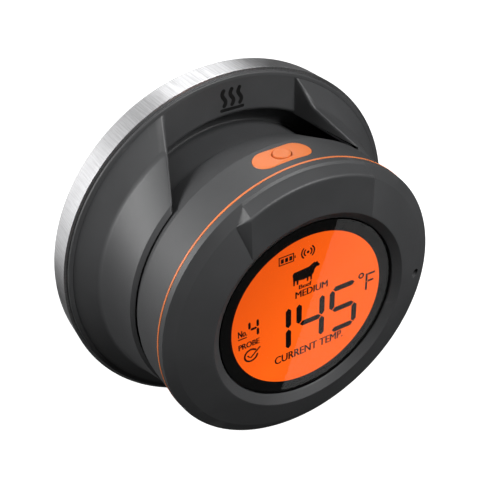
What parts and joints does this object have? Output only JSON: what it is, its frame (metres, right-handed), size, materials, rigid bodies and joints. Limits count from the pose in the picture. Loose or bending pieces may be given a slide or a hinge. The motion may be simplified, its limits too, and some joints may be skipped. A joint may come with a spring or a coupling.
{
  "type": "meat thermometer",
  "caption": "Round wireless meat thermometer for a grill lid: an orange-lit display head that pulls off a magnetic cup base with a brushed steel rim and a finger notch.",
  "frame": {"origin": "centre of the grip pad's back face, where the base is held on the grill lid", "axes": "+Z towards 12 o'clock, +X to the viewer's right when facing the display, the display faces -Y and the back face +Y"},
  "size_m": [0.11, 0.0511, 0.11],
  "materials": {
    "charcoal_plastic": "satin moulded, fine texture",
    "brushed_steel": "brushed along the rim",
    "orange_accent": "satin moulded",
    "lens_clear": "clear window with a black printed border, polished",
    "lcd_orange": "display glass, lit orange with black segments",
    "diffuser_white": "satin moulded",
    "black_plastic": "fine moulded texture",
    "silicone_black": "matte",
    "zinc_steel": "zinc plated",
    "magnet_nickel": "nickel plated",
    "contact_brass": "stamped",
    "board_green": "solder mask",
    "cell_wrap": "printed film over a steel can"
  },
  "bodies": {
    "base": {"base_housing": "charcoal_plastic", "steel_rim": "brushed_steel", "back_plate": "black_plastic", "grip_pad": "silicone_black", "magnet_yoke": "zinc_steel", "lid_magnet_1": "magnet_nickel", "lid_magnet_2": "magnet_nickel", "lid_magnet_3": "magnet_nickel", "lid_magnet_4": "magnet_nickel", "dock_magnet_1": "magnet_nickel", "dock_magnet_2": "magnet_nickel", "dock_magnet_3": "magnet_nickel", "dock_magnet_4": "magnet_nickel", "back_screw_1": "zinc_steel", "back_screw_2": "zinc_steel", "back_screw_3": "zinc_steel", "back_screw_4": "zinc_steel"},
    "head": {"rear_housing": "charcoal_plastic", "front_bezel": "charcoal_plastic", "accent_ring": "orange_accent", "button_pad": "orange_accent", "display_lens": "lens_clear", "lcd_panel": "lcd_orange", "light_guide": "diffuser_white", "lcd_holder": "diffuser_white", "battery_tray": "black_plastic", "tact_switch": "black_plastic", "processor_chip": "black_plastic", "buzzer": "black_plastic", "probe_jack_1": "black_plastic", "probe_jack_2": "black_plastic", "probe_jack_3": "black_plastic", "probe_jack_4": "black_plastic", "lens_seal": "silicone_black", "keeper_ring": "zinc_steel", "radio_module": "zinc_steel", "housing_screw_1": "zinc_steel", "housing_screw_2": "zinc_steel", "housing_screw_3": "zinc_steel", "housing_screw_4": "zinc_steel", "battery_spring_1": "contact_brass", "battery_spring_2": "contact_brass", "battery_contact_1": "contact_brass", "battery_contact_2": "contact_brass", "main_board": "board_green", "battery_cell_1": "cell_wrap", "battery_cell_2": "cell_wrap"},
    "button": {"power_button": "orange_accent"},
    "cover": {"battery_cover": "black_plastic", "cover_seal": "silicone_black"}
  },
  "joints": [
    {"name": "head_pull", "type": "slide", "parent": "base", "child": "head", "axis": [0, -1, 0], "range_m": [0, 0.028]},
    {"name": "button_press", "type": "slide", "parent": "head", "child": "button", "axis": [0.0262, 0, -0.9997], "range_m": [0, 0.0008], "stiffness_N_per_m": 400, "springref_m": -0.0002},
    {"name": "cover_turn", "type": "hinge", "parent": "head", "child": "cover", "pos_m": [0, -0.0197, 0], "axis": [0, 1, 0], "range_deg": [0, 35]}
  ]
}
